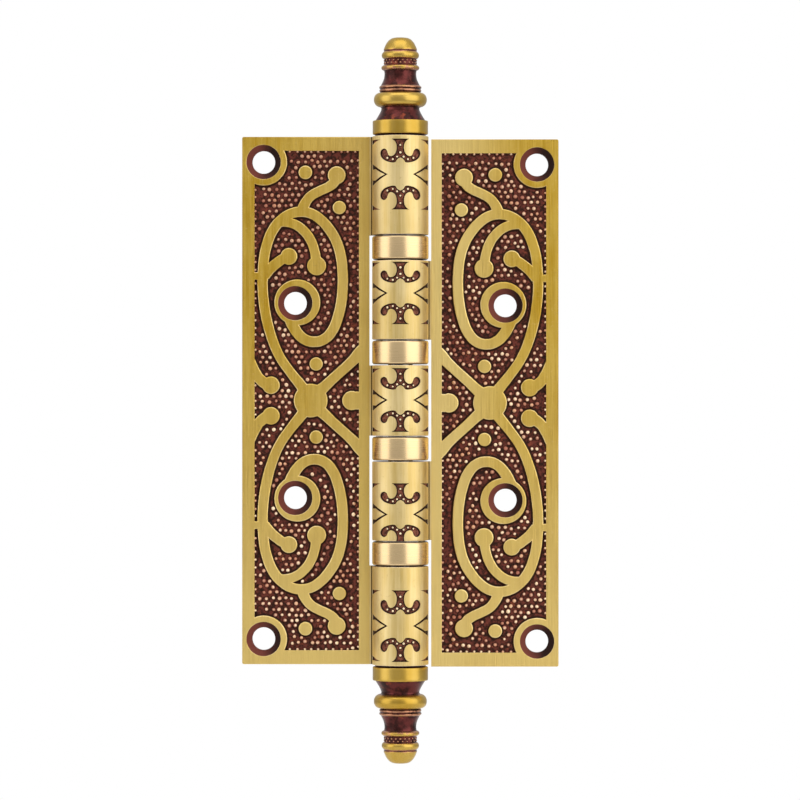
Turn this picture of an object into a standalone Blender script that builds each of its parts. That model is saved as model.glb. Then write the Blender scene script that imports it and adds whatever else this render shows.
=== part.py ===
"""Ball-bearing door hinge with scrollwork leaves and turned finials, opened flat.

The hinge axis is Z, its middle is the origin, and the decorated faces look along -Y.
Both leaves hold knuckles of one barrel on a steel pin. Four thrust bearings part the knuckles.
"""

import math

import bmesh
import bpy
from mathutils import Matrix

MM = 0.001

# Barrel, from the middle outwards.
BARREL_RADIUS = 8.0 * MM
MIDDLE_KNUCKLE = 20.0 * MM
INNER_KNUCKLE = 22.4 * MM
END_KNUCKLE = 28.0 * MM
BEARING_HEIGHT = 6.7 * MM
STACK_GAP = 0.3 * MM
BORE_RADIUS = 3.65 * MM
BARREL_SIDES = 40

# Leaves. FACE_Y is the decorated face, which lies behind the axis.
LEAF_HEIGHT = MIDDLE_KNUCKLE + 2 * (INNER_KNUCKLE + END_KNUCKLE + 2 * BEARING_HEIGHT + 4 * STACK_GAP)
LEAF_REACH = 45.0 * MM
LEAF_THICKNESS = 3.5 * MM
FACE_Y = 1.5 * MM
BACK_Y = FACE_Y + LEAF_THICKNESS
EDGE_GAP = 0.8 * MM
EDGE_CHAMFER = 0.4 * MM
ROOT_OVERLAP = 3.0 * MM
# The right leaf's plate sits a little lower on its knuckles than the left one's.
RIGHT_LEAF_DROP = 0.7 * MM

# Sunk ground behind the scrollwork.
RELIEF_DEPTH = 0.8 * MM
GROUND_INNER = 11.7 * MM
GROUND_OUTER = 41.5 * MM
GROUND_TOP = 71.0 * MM
WALL_DRAFT = 0.3
CUT_MARGIN = 1.0 * MM

# Countersunk screw holes: distance from the axis and height above the middle, in millimetres.
SCREW_HOLES = ((38.9, 67.85), (29.9, 27.7))
SCREW_RADIUS = 3.25 * MM
COUNTERSINK_RADIUS = 4.9 * MM
SCREW_SIDES = 24

# Scrollwork of the upper half, in millimetres: distance from the axis, height, half-width.
BANDS = {
    "tail": ((18.2, 63.5, 1.4), (19.6, 61.6, 1.35), (21.6, 60.5, 1.2), (25.6, 58.2, 1.35), (27.4, 54.2, 1.7)),
    "arch": (
        (39.15, 36.5, 1.4), (38.6, 41.0, 1.45), (36.0, 48.7, 1.5), (31.0, 53.4, 1.45), (25.0, 53.2, 1.5),
        (20.8, 49.2, 1.5), (17.3, 42.2, 1.5), (16.4, 33.0, 1.55), (17.4, 24.2, 1.55), (20.9, 18.0, 1.5),
        (26.6, 17.3, 1.5), (30.2, 21.2, 1.6), (31.0, 23.0, 1.2),
    ),
    "stem": (
        (39.15, 38.0, 1.4), (39.05, 30.5, 1.4), (37.6, 21.2, 1.35), (33.9, 12.5, 1.35), (27.8, 4.6, 1.6),
        (26.0, 2.0, 2.0),
    ),
    "curl": ((33.6, 50.7, 1.3), (30.5, 50.2, 1.35), (26.5, 47.0, 1.4), (24.3, 42.2, 1.4), (24.0, 39.0, 1.5)),
    "spur": ((32.5, 40.7, 1.6), (34.4, 39.9, 1.55), (36.2, 38.4, 1.6), (38.3, 36.0, 1.8)),
    "bridge": ((39.5, 35.4, 1.1), (42.3, 35.4, 1.15)),
    "link": ((10.4, 14.9, 1.7), (14.4, 10.4, 1.4), (19.4, 5.6, 1.4), (22.3, 3.2, 1.8)),
    "outer_lobe": ((37.0, 4.6, 2.2), (40.2, 6.2, 2.0), (43.6, 9.6, 3.0)),
}
PADS = {
    "tail_ball": (18.1, 64.0, 2.55),
    "curl_ball": (23.9, 38.3, 2.75),
    "spur_ball": (31.7, 40.9, 2.45),
    "screw_ring": (29.3, 27.9, 6.65),
    "corner_tab": (38.9, 67.85, 6.7),
    "outer_lobe_ball": (36.9, 4.35, 2.6),
    "upper_stud": (27.0, 64.8, 2.0),
    "side_stud": (17.4, 54.8, 1.95),
    "lower_stud": (24.0, 10.4, 1.95),
}
MIDDLE_BANDS = {"inner_lobe": ((13.6, 0.0, 2.7), (10.5, 0.0, 2.85))}
MIDDLE_PADS = {"hub": (25.5, 0.0, 4.9), "inner_lobe_ball": (13.6, 0.0, 2.75)}
BAND_STEPS = 3
PAD_SIDES = 16

# Pin: a plain shaft with a stud at each end for the finials.
PIN_RADIUS = 3.5 * MM
PIN_END_GAP = 0.2 * MM
STUD_RADIUS = 2.5 * MM
STUD_LENGTH = 10.0 * MM
STUD_CLEARANCE = 0.15 * MM
PIN_SIDES = 24

# Finial, from its seat upwards, in millimetres: radius and height.
FINIAL_SIDES = 28
FINIAL_OUTLINE = (
    (0.0, 27.8), (1.9, 27.7), (3.1, 27.2), (4.2, 26.0), (4.75, 24.2),
    (5.25, 23.4), (5.25, 22.4), (4.65, 21.6), (4.65, 20.2),
    (5.3, 19.6), (5.3, 18.8), (4.6, 17.9), (4.75, 15.8),
    (5.2, 14.3), (5.9, 13.8), (5.8, 12.4), (7.1, 11.4), (7.5, 10.1), (7.1, 8.8), (5.5, 7.7),
    (6.1, 6.1), (7.0, 4.1), (7.6, 4.0), (7.85, 3.7), (7.85, 0.3), (7.6, 0.0),
)

# Thrust bearing: a cup holds the lower race, the caged balls and the upper race.
RACE_INNER = 3.8 * MM
RACE_OUTER = 7.0 * MM
SHELL_INNER = 7.15 * MM
SHELL_FLOOR = 1.0 * MM
SHELL_EDGE = 0.5 * MM
RACE_GAP = 0.1 * MM
LOWER_RACE = 1.5 * MM
BALL_RADIUS = 1.0 * MM
BALL_GAP = 0.05 * MM
BALL_COUNT = 6
PITCH_RADIUS = 5.4 * MM
CAGE_INNER = 3.95 * MM
CAGE_OUTER = 6.85 * MM
CAGE_HEIGHT = 0.8 * MM
CAGE_POCKET = 1.2 * MM
POCKET_SIDES = 10
RACE_STANDS_PROUD = 0.15 * MM
RING_SIDES = 24

# Colour, metallic value and roughness.
FINISHES = {
    "antique_brass": ((0.58, 0.41, 0.14), 1.0, 0.38),
    "satin_gold": ((0.72, 0.54, 0.29), 1.0, 0.32),
    "oxblood_patina": ((0.30, 0.17, 0.08), 1.0, 0.35),
    "bearing_steel": ((0.56, 0.57, 0.58), 1.0, 0.22),
    "cage_brass": ((0.52, 0.38, 0.15), 1.0, 0.45),
}


def clear_scene():
    for thing in list(bpy.data.objects):
        bpy.data.objects.remove(thing)


def new_collection(name):
    made = bpy.data.collections.new(name)
    bpy.context.scene.collection.children.link(made)
    return made


def move_to(thing, home):
    for owner in list(thing.users_collection):
        owner.objects.unlink(thing)
    home.objects.link(thing)
    return thing


def finish_material(name):
    colour, metallic, roughness = FINISHES[name]
    made = bpy.data.materials.get(name)
    if made is None:
        made = bpy.data.materials.new(name)
        made.use_nodes = True
        shader = made.node_tree.nodes["Principled BSDF"]
        shader.inputs["Base Color"].default_value = (*colour, 1.0)
        shader.inputs["Metallic"].default_value = metallic
        shader.inputs["Roughness"].default_value = roughness
    return made


def finished(thing, finish):
    """Gives a part its material and smooth shading, and puts it with the hinge."""
    thing.data.materials.clear()
    thing.data.materials.append(finish_material(finish))
    thing.data.shade_smooth()
    thing.data.set_sharp_from_angle(angle=math.radians(35))
    return move_to(thing, HINGE)


def as_cutter(thing):
    thing.hide_render = True
    thing.display_type = "WIRE"
    return move_to(thing, CUTTERS)


def renamed(name):
    thing = bpy.context.active_object
    thing.name = name
    thing.data.name = name
    return thing


def box(name, low, high):
    middle = [(a + b) / 2 for a, b in zip(low, high)]
    bpy.ops.mesh.primitive_cube_add(size=1, location=middle)
    thing = renamed(name)
    thing.scale = [abs(b - a) for a, b in zip(low, high)]
    bpy.ops.object.transform_apply(location=False, rotation=False, scale=True)
    return thing


def cylinder(name, radius, low, high, sides):
    """An upright cylinder on the hinge axis."""
    bpy.ops.mesh.primitive_cylinder_add(
        vertices=sides, radius=radius, depth=high - low, location=(0, 0, (low + high) / 2)
    )
    return renamed(name)


def turned(name, outline, sides, closed=False):
    """A solid of revolution about Z. The outline runs down its outer side; a closed one is a ring's section."""
    mesh = bpy.data.meshes.new(name)
    edges = [(i, i + 1) for i in range(len(outline) - 1)]
    if closed:
        edges.append((len(outline) - 1, 0))
    mesh.from_pydata([(radius, 0, height) for radius, height in outline], edges, [])
    thing = bpy.data.objects.new(name, mesh)
    bpy.context.scene.collection.objects.link(thing)
    screw = thing.modifiers.new("turn", "SCREW")
    screw.steps = screw.render_steps = sides
    screw.use_merge_vertices = True
    screw.merge_threshold = 0.00001
    return thing


def baked(thing):
    """Turns an object with modifiers, or a curve, into a plain closed mesh in the same place."""
    graph = bpy.context.evaluated_depsgraph_get()
    graph.update()
    mesh = bpy.data.meshes.new_from_object(thing.evaluated_get(graph))
    shape = bmesh.new()
    shape.from_mesh(mesh)
    bmesh.ops.remove_doubles(shape, verts=shape.verts, dist=0.000001)
    bmesh.ops.recalc_face_normals(shape, faces=shape.faces)
    shape.to_mesh(mesh)
    shape.free()
    name = thing.name
    made = bpy.data.objects.new(name + "_solid", mesh)
    bpy.context.scene.collection.objects.link(made)
    made.matrix_world = thing.matrix_world.copy()
    bpy.data.objects.remove(thing)
    made.name = name
    return made


def boolean(thing, operation, other):
    modifier = thing.modifiers.new(operation.lower(), "BOOLEAN")
    modifier.operation = operation
    modifier.solver = "EXACT"
    if isinstance(other, bpy.types.Collection):
        modifier.operand_type = "COLLECTION"
        modifier.collection = other
    else:
        modifier.object = other


# The leaf faces are drawn lying down, face up, and then stood up to look along -Y.
STAND_UP = Matrix.Translation((0, FACE_Y, 0)) @ Matrix.Rotation(math.radians(90), 4, "X")


def band_section():
    """The section of a scroll band for a half-width of 1: it widens downwards, as a casting's walls do."""
    curve = bpy.data.curves.new("band_section", "CURVE")
    curve.dimensions = "2D"
    spline = curve.splines.new("POLY")
    above, below = 0.7, 1.1
    corners = [
        (-(1 - WALL_DRAFT * above), above),
        (1 - WALL_DRAFT * above, above),
        (1 + WALL_DRAFT * below, -below),
        (-(1 + WALL_DRAFT * below), -below),
    ]
    spline.points.add(len(corners) - 1)
    for point, (across, up) in zip(spline.points, corners):
        point.co = (across, up, 0, 1)
    spline.use_cyclic_u = True
    thing = bpy.data.objects.new("band_section", curve)
    return as_cutter(thing)


def scroll_band(name, route, side, half, section):
    """A raised band along a smooth route, on one side of the axis and in one half of the leaf."""
    curve = bpy.data.curves.new(name, "CURVE")
    curve.dimensions = "3D"
    curve.twist_mode = "Z_UP"
    curve.resolution_u = BAND_STEPS
    curve.bevel_mode = "OBJECT"
    curve.bevel_object = section
    curve.use_fill_caps = True
    spline = curve.splines.new("BEZIER")
    spline.bezier_points.add(len(route) - 1)
    for point, (across, up, half_width) in zip(spline.bezier_points, route):
        point.co = (side * across * MM, half * up * MM, 0)
        point.radius = half_width * MM
        point.handle_left_type = point.handle_right_type = "AUTO"
    thing = bpy.data.objects.new(name, curve)
    bpy.context.scene.collection.objects.link(thing)
    thing.matrix_world = STAND_UP
    return baked(thing)


def scroll_pad(name, across, up, radius, side):
    """A round raised pad with the same draft as the bands."""
    above, below = CUT_MARGIN * 1.2, RELIEF_DEPTH + CUT_MARGIN
    bpy.ops.mesh.primitive_cone_add(
        vertices=PAD_SIDES if radius < 5 else 2 * PAD_SIDES,
        radius1=radius * MM + WALL_DRAFT * below,
        radius2=radius * MM - WALL_DRAFT * above,
        depth=above + below,
        location=(side * across * MM, up * MM, (above - below) / 2),
    )
    thing = renamed(name)
    thing.matrix_world = STAND_UP @ thing.matrix_world
    return thing


def ground_cutter(tag, side):
    """What is sunk into a leaf's face: the panel, less all its scrollwork."""
    raised = new_collection("raised_" + tag)
    section = band_section()
    for half in (1, -1):
        half_tag = f"{tag}_{'upper' if half > 0 else 'lower'}"
        for name, route in BANDS.items():
            move_to(scroll_band(f"{name}_{half_tag}", route, side, half, section), raised)
        for name, (across, up, radius) in PADS.items():
            move_to(scroll_pad(f"{name}_{half_tag}", across, half * up, radius, side), raised)
    for name, route in MIDDLE_BANDS.items():
        move_to(scroll_band(f"{name}_{tag}", route, side, 1, section), raised)
    for name, (across, up, radius) in MIDDLE_PADS.items():
        move_to(scroll_pad(f"{name}_{tag}", across, up, radius, side), raised)
    for thing in raised.objects:
        thing.hide_render = True
        thing.display_type = "WIRE"
    xs = sorted((side * GROUND_INNER, side * GROUND_OUTER))
    panel = box(
        "ground_" + tag,
        (xs[0], FACE_Y - CUT_MARGIN / 2, -GROUND_TOP),
        (xs[1], FACE_Y + RELIEF_DEPTH, GROUND_TOP),
    )
    boolean(panel, "DIFFERENCE", raised)
    return as_cutter(baked(panel))


def screw_hole_cutter(name, across, up):
    """A clear hole with a 90 degree countersink, cut from the face."""
    sink = COUNTERSINK_RADIUS - SCREW_RADIUS
    outline = (
        (0, CUT_MARGIN),
        (COUNTERSINK_RADIUS + CUT_MARGIN, CUT_MARGIN),
        (SCREW_RADIUS, -sink),
        (SCREW_RADIUS, -LEAF_THICKNESS - CUT_MARGIN),
        (0, -LEAF_THICKNESS - CUT_MARGIN),
    )
    thing = baked(turned(name, outline, SCREW_SIDES))
    thing.matrix_world = STAND_UP @ Matrix.Translation((across, up, 0))
    return as_cutter(thing)


def knuckle_stack():
    """Heights of the five knuckles and of the four bearing seats, from the top down."""
    knuckles, seats = [], []
    top = LEAF_HEIGHT / 2
    lengths = (END_KNUCKLE, INNER_KNUCKLE, MIDDLE_KNUCKLE, INNER_KNUCKLE, END_KNUCKLE)
    for length in lengths:
        knuckles.append((top - length, top))
        seats.append(top - length - STACK_GAP - BEARING_HEIGHT)
        top = seats[-1] - STACK_GAP
    return knuckles, seats[:-1]


def leaf(tag, side, knuckles, drop):
    """A leaf: a flat plate, its own knuckles of the barrel and the roots that join them."""
    half_height = LEAF_HEIGHT / 2
    lower = Matrix.Translation((0, 0, -drop))
    xs = sorted((side * (BARREL_RADIUS + EDGE_GAP), side * LEAF_REACH))
    plate = box("leaf_" + tag, (xs[0], FACE_Y, -half_height), (xs[1], BACK_Y, half_height))
    bevel = plate.modifiers.new("edge", "BEVEL")
    bevel.width = EDGE_CHAMFER
    bevel.segments = 1
    plate = baked(plate)
    plate.matrix_world = lower @ plate.matrix_world
    joined = new_collection("knuckles_" + tag)
    for number, (low, high) in knuckles:
        move_to(cylinder(f"knuckle_{number}", BARREL_RADIUS, low, high, BARREL_SIDES), joined)
        root = sorted((side * ROOT_OVERLAP, side * (BARREL_RADIUS + EDGE_GAP + 2 * EDGE_CHAMFER)))
        move_to(box(f"root_{number}", (root[0], FACE_Y, low), (root[1], BACK_Y, high)), joined)
    cuts = new_collection("cuts_" + tag)
    ground = move_to(ground_cutter(tag, side), cuts)
    ground.matrix_world = lower @ ground.matrix_world
    for across, up in SCREW_HOLES:
        for half in (1, -1):
            hole = screw_hole_cutter(f"screw_hole_{tag}_{up:.0f}_{half}", side * across * MM, half * up * MM)
            hole.matrix_world = lower @ hole.matrix_world
            move_to(hole, cuts)
    bore = cylinder("bore_" + tag, BORE_RADIUS, -half_height - CUT_MARGIN, half_height + CUT_MARGIN, PIN_SIDES)
    move_to(bore, cuts)
    for thing in (*joined.objects, *cuts.objects):
        thing.hide_render = True
        thing.display_type = "WIRE"
    boolean(plate, "UNION", joined)
    boolean(plate, "DIFFERENCE", cuts)
    return finished(baked(plate), "antique_brass")


def pin():
    """The shaft, with a stud for a finial at each end."""
    shaft = LEAF_HEIGHT / 2 - PIN_END_GAP
    end = LEAF_HEIGHT / 2 + STUD_LENGTH
    outline = (
        (0, end),
        (STUD_RADIUS, end),
        (STUD_RADIUS, shaft),
        (PIN_RADIUS, shaft),
        (PIN_RADIUS, -shaft),
        (STUD_RADIUS, -shaft),
        (STUD_RADIUS, -end),
        (0, -end),
    )
    return finished(turned("hinge_pin", outline, PIN_SIDES), "bearing_steel")


def finial(name, upward):
    """A turned finial with a blind hole for the pin's stud. The lower one is the same piece upside down."""
    hole = STUD_RADIUS + STUD_CLEARANCE
    depth = STUD_LENGTH + CUT_MARGIN
    outline = [(radius * MM, height * MM) for radius, height in FINIAL_OUTLINE]
    outline += [(hole, 0), (hole, depth), (0, depth)]
    thing = baked(turned(name, outline, FINIAL_SIDES))
    seat = LEAF_HEIGHT / 2 + STACK_GAP
    thing.location = (0, 0, seat if upward else -seat)
    thing.rotation_euler = (0 if upward else math.pi, 0, 0)
    return finished(thing, "oxblood_patina")


def ring(name, inner, outer, low, high, finish):
    outline = ((outer, high), (outer, low), (inner, low), (inner, high))
    return finished(turned(name, outline, RING_SIDES, closed=True), finish)


def bearing_shell(number, seat):
    """The visible cup, with its top and bottom edges eased."""
    top = seat + BEARING_HEIGHT
    ease = SHELL_EDGE
    outline = (
        (BARREL_RADIUS - ease, top),
        (BARREL_RADIUS, top - ease),
        (BARREL_RADIUS, seat + ease),
        (BARREL_RADIUS - ease, seat),
        (RACE_INNER, seat),
        (RACE_INNER, seat + SHELL_FLOOR),
        (SHELL_INNER, seat + SHELL_FLOOR),
        (SHELL_INNER, top),
    )
    return finished(turned(f"bearing_shell_{number}", outline, BARREL_SIDES, closed=True), "satin_gold")


def ball_places(height):
    for i in range(BALL_COUNT):
        turn = 2 * math.pi * i / BALL_COUNT
        yield PITCH_RADIUS * math.cos(turn), PITCH_RADIUS * math.sin(turn), height


def ball_cage(number, height):
    """A flat ring with a round pocket for each ball."""
    blank = turned(
        f"ball_cage_{number}",
        (
            (CAGE_OUTER, height + CAGE_HEIGHT / 2),
            (CAGE_OUTER, height - CAGE_HEIGHT / 2),
            (CAGE_INNER, height - CAGE_HEIGHT / 2),
            (CAGE_INNER, height + CAGE_HEIGHT / 2),
        ),
        RING_SIDES,
        closed=True,
    )
    pockets = new_collection(f"pockets_{number}")
    for place in ball_places(height):
        bpy.ops.mesh.primitive_cylinder_add(
            vertices=POCKET_SIDES, radius=CAGE_POCKET, depth=CAGE_HEIGHT + 2 * CUT_MARGIN, location=place
        )
        pocket = as_cutter(renamed("pocket"))
        move_to(pocket, pockets)
    blank = baked(blank)
    boolean(blank, "DIFFERENCE", pockets)
    return finished(baked(blank), "cage_brass")


def bearing(number, seat):
    """One thrust bearing, standing on the knuckle below it."""
    bearing_shell(number, seat)
    lower = seat + SHELL_FLOOR + RACE_GAP
    ring(f"lower_race_{number}", RACE_INNER, RACE_OUTER, lower, lower + LOWER_RACE, "bearing_steel")
    centre = lower + LOWER_RACE + BALL_GAP + BALL_RADIUS
    upper = centre + BALL_RADIUS + BALL_GAP
    top = seat + BEARING_HEIGHT + RACE_STANDS_PROUD
    ring(f"upper_race_{number}", RACE_INNER, RACE_OUTER, upper, top, "bearing_steel")
    ball_cage(number, centre)
    for i, place in enumerate(ball_places(centre), 1):
        bpy.ops.mesh.primitive_ico_sphere_add(subdivisions=2, radius=BALL_RADIUS, location=place)
        finished(renamed(f"ball_{number}_{i}"), "bearing_steel")


clear_scene()
HINGE = new_collection("door_hinge")
CUTTERS = new_collection("cutters")
stack, seats = knuckle_stack()
numbered = list(enumerate(stack, 1))
leaf("left", -1, numbered[0::2], drop=0)
leaf("right", 1, numbered[1::2], drop=RIGHT_LEAF_DROP)
pin()
finial("finial_top", upward=True)
finial("finial_bottom", upward=False)
for bearing_number, seat_height in enumerate(seats, 1):
    bearing(bearing_number, seat_height)
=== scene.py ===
"""Antique brass door hinge: scrollwork leaves, engraved knuckles, bearing shells and turned finials."""

import math
import random

import bmesh
import bpy
from mathutils import Matrix, Vector
from mathutils.bvhtree import BVHTree


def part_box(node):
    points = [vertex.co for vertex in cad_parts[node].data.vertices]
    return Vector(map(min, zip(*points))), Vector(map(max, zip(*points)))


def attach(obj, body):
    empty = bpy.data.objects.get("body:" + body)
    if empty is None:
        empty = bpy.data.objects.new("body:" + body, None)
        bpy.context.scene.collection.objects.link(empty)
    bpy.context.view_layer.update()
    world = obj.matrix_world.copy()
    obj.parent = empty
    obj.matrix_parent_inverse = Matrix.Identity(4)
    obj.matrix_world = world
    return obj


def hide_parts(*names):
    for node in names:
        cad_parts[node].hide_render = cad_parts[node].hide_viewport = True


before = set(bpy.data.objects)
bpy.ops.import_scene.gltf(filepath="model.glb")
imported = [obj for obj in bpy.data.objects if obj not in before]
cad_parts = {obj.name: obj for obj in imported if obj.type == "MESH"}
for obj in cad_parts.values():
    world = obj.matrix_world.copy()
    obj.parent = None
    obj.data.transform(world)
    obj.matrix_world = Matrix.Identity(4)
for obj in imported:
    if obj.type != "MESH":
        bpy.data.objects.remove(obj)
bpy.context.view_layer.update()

bl_info = {
    "name": "Antique Brass Hinge",
    "version": (1, 0, 0),
    "blender": (4, 5, 0),
    "location": "3D View > Sidebar > Hinge",
    "description": "Builds the ornate pieces of a ball-bearing butt hinge and their finishes",
    "category": "Add Mesh",
}

MM = 0.001

# Places that the solids give.
HALF_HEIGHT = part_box("leaf_left")[1].z
REACH, BARREL_RADIUS, RIGHT_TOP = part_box("leaf_right")[1]
RIGHT_DROP = HALF_HEIGHT - RIGHT_TOP
FINIAL_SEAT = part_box("finial_top")[0].z
SHELLS = [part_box(f"bearing_shell_{number}") for number in range(1, 5)]

# The leaves' plates lie behind the axis.
FACE_Y = 1.5 * MM
BACK_Y = 5.0 * MM
PLATE_EDGE = 8.8 * MM
BORE_RADIUS = 3.65 * MM
STACK_GAP = 0.3 * MM

# Sunk panel: its inner and outer side and its top, in millimetres from the axis and the middle.
PANEL = (11.8, 41.45, 71.0)

# Screw holes: distance from the axis and height, in millimetres.
SCREW_HOLES = ((38.9, 67.85), (29.9, 27.7))
SCREW_RADIUS = 3.25
COUNTERSINK_RADIUS = 4.95

# Scrollwork of the upper half, in millimetres: distance from the axis, height, half-width.
BANDS = {
    "tail": (
        (18.1, 63.6, 1.7), (19.0, 61.9, 1.5), (20.6, 60.7, 1.42), (23.0, 59.6, 1.42), (25.3, 58.3, 1.42),
        (26.6, 56.9, 1.45), (27.5, 55.2, 1.6), (28.2, 53.2, 1.7),
    ),
    "arch": (
        (39.15, 34.0, 1.5), (38.9, 39.5, 1.5), (37.9, 44.5, 1.5), (36.0, 48.9, 1.55), (33.6, 51.6, 1.55),
        (31.0, 53.2, 1.5), (28.2, 53.7, 1.5), (25.4, 53.2, 1.5), (22.6, 51.4, 1.5), (20.2, 48.7, 1.52),
        (18.3, 45.5, 1.52), (17.0, 41.4, 1.52), (16.45, 37.0, 1.52), (16.4, 32.5, 1.52), (16.8, 28.0, 1.55),
        (17.8, 23.6, 1.55), (19.3, 20.0, 1.55), (21.6, 17.5, 1.55), (24.6, 16.7, 1.55), (27.2, 17.4, 1.55),
        (29.3, 19.3, 1.6), (30.6, 21.4, 1.7), (31.6, 23.4, 1.6),
    ),
    "stem": (
        (39.15, 37.0, 1.5), (39.2, 33.0, 1.5), (38.9, 28.6, 1.5), (38.0, 23.0, 1.5), (36.3, 17.0, 1.45),
        (34.2, 12.3, 1.42), (31.3, 8.1, 1.42), (28.2, 4.2, 1.6), (26.6, 2.0, 2.0),
    ),
    "curl": (
        (34.6, 50.6, 1.2), (32.2, 50.7, 1.35), (29.6, 49.9, 1.38), (27.2, 48.0, 1.4), (25.5, 45.6, 1.4),
        (24.4, 42.6, 1.38), (23.9, 39.6, 1.5),
    ),
    "spur": ((31.9, 40.9, 1.5), (33.4, 40.3, 1.5), (35.0, 39.2, 1.5), (36.8, 37.7, 1.55), (38.7, 35.6, 1.7)),
    "bridge": ((38.8, 35.45, 1.05), (40.4, 35.45, 1.0), (43.0, 35.45, 1.2)),
    "link": (
        (9.6, 14.9, 2.4), (11.5, 13.4, 2.0), (13.4, 11.5, 1.6), (15.4, 9.6, 1.5), (17.3, 7.9, 1.5),
        (19.3, 6.1, 1.5), (21.4, 4.1, 1.6), (23.4, 2.4, 1.9),
    ),
    "outer_lobe": ((36.8, 4.35, 2.2), (38.6, 5.0, 1.7), (40.2, 6.3, 1.55), (41.6, 8.0, 1.9), (43.9, 10.6, 3.2)),
}
PADS = {
    "tail_ball": (18.1, 64.1, 2.6),
    "curl_ball": (23.8, 38.3, 2.75),
    "spur_ball": (31.7, 41.0, 2.45),
    "screw_ring": (29.3, 27.9, 6.6),
    "corner_tab": (38.9, 67.85, 6.75),
    "outer_lobe_ball": (36.8, 4.35, 2.55),
    "upper_stud": (27.0, 64.9, 2.0),
    "side_stud": (17.35, 54.9, 1.95),
    "lower_stud": (23.95, 10.4, 1.95),
}
MIDDLE_BANDS = {"inner_lobe": ((9.6, 0.0, 3.1), (11.6, 0.0, 2.85), (13.8, 0.0, 2.75))}
MIDDLE_PADS = {"hub": (25.5, 0.0, 4.85), "inner_lobe_ball": (13.8, 0.0, 2.8)}

# Knuckles: how far below its top the engraved motif starts, and the motif's height, in millimetres.
ENGRAVINGS = ((1.1, 20.0), (0.55, 17.6), (0.85, 18.0), (6.05, 17.6), (6.55, 20.2))
# The height that the motif is drawn for.
MOTIF_HEIGHT = 20.0
# Half of the anchor, from its flat top down, in millimetres. True marks a sharp corner.
ANCHOR = (
    (0.0, 0.0, True), (2.6, 0.0, True), (1.8, 0.5, False), (1.25, 1.3, False), (1.05, 2.3, False),
    (1.12, 3.2, False), (1.45, 4.1, False), (2.05, 4.7, False), (2.75, 4.9, False), (3.35, 4.65, False),
    (3.7, 4.0, False), (4.05, 3.2, False), (4.75, 2.75, False), (5.7, 2.95, False), (6.3, 3.75, False),
    (6.2, 4.65, False), (5.55, 5.5, False), (4.4, 6.2, False), (3.1, 6.6, False), (1.95, 6.75, False),
    (1.35, 6.6, True), (0.95, 5.95, False), (0.5, 5.55, False), (0.0, 5.35, True),
)
ANCHOR_BEADS = ((0.0, 1.8), (0.0, 3.9), (0.95, 5.1), (2.2, 5.8), (3.9, 5.4))

# Finial from its seat upwards, in millimetres: radius, height and how worn to bright brass it is.
FINIAL = (
    (0.0, 27.78, 1.0), (1.2, 27.76, 1.0), (2.4, 27.55, 1.0), (3.3, 26.95, 1.0), (4.0, 26.05, 1.0),
    (4.5, 25.0, 1.0), (4.75, 24.25, 0.7), (4.62, 23.98, 0.0), (4.85, 23.62, 0.6), (5.18, 23.2, 1.0),
    (5.3, 22.65, 1.0), (5.15, 22.1, 1.0), (4.8, 21.75, 0.5), (4.55, 21.5, 0.0), (4.55, 20.8, 0.05),
    (4.6, 20.15, 0.0), (4.85, 19.85, 0.3), (5.25, 19.55, 0.7), (5.4, 19.15, 0.72), (5.25, 18.72, 0.6),
    (4.85, 18.45, 0.5), (4.6, 18.25, 0.0), (4.5, 17.4, 0.0), (4.62, 16.3, 0.0), (4.95, 15.3, 0.0),
    (5.35, 14.5, 0.05), (5.55, 14.1, 0.2), (5.9, 13.85, 0.55), (6.0, 13.45, 0.4), (5.75, 13.15, 0.05),
    (5.95, 12.8, 0.5), (5.9, 12.4, 0.35), (5.65, 12.1, 0.0), (6.4, 11.95, 0.8), (7.05, 11.5, 1.0),
    (7.42, 10.8, 1.0), (7.52, 10.1, 1.0), (7.42, 9.4, 1.0), (7.05, 8.7, 1.0), (6.4, 8.2, 0.8),
    (5.6, 7.95, 0.2), (5.4, 7.5, 0.0), (5.6, 6.8, 0.0), (6.05, 5.9, 0.0), (6.6, 5.0, 0.05),
    (7.0, 4.35, 0.1), (7.1, 4.15, 0.2), (7.6, 4.1, 0.9), (7.85, 3.85, 1.0), (7.85, 2.1, 1.0),
    (7.85, 0.5, 1.0), (7.6, 0.25, 0.7), (7.3, 0.2, 0.1),
)
STUD_HOLE = 2.65
STUD_HOLE_DEPTH = 11.0
# Stippled neck: how many pips stand in a ring and how far out, then each ring's height, turn and size of pip.
NECK_BEADS = 22
NECK_RADIUS = 4.5
NECK_ROWS = ((20.45, 0.0, 0.34), (21.2, 0.5, 0.3))

ROUND_SIDES = 96
SMALL_ROUND_SIDES = 32
FACE_FORWARD = Matrix.Rotation(math.radians(90), 4, "X")
STAND_UP = Matrix.Translation((0, FACE_Y, 0)) @ FACE_FORWARD
TO_OTHER_SIDE = Matrix.Scale(-1, 4, (1, 0, 0))

# The leaves' patina keeps between these distances from the axis and below this height, in millimetres.
PATINA_LIMITS = (10.5, 44.4, 73.6)

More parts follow.
